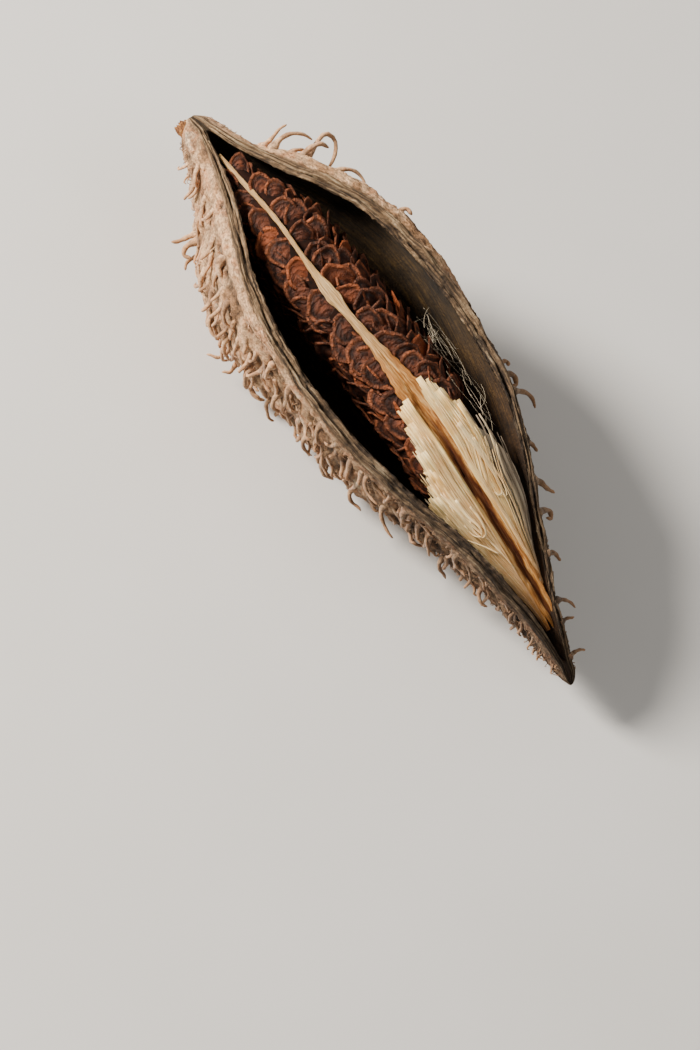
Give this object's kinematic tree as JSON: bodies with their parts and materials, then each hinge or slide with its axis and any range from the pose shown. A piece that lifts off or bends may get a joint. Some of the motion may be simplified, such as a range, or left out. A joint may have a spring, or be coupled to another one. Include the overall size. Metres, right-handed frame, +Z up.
{
  "type": "milkweed seed pod",
  "caption": "Dried milkweed pod lying on its back, split along its seam: a soft-spined shell around shingled winged seeds, silky floss and a papery placenta.",
  "frame": {"origin": "middle of the small flat spot on the pod's back that it lies on, under its weight", "axes": "+X from the stalk end to the beak, +Y to the right-hand wall, +Z up out of the split"},
  "size_m": [0.1004, 0.0347, 0.0264],
  "materials": {
    "husk": "matte",
    "placenta": "satin",
    "seeds": "satin",
    "floss": "silky",
    "stub": "matte"
  },
  "bodies": {
    "root": {"shell": "husk", "placenta": "placenta", "seeds_left": "seeds", "seeds_right": "seeds", "floss_left": "floss", "floss_right": "floss", "stalk_stub": "stub"}
  },
  "joints": []
}
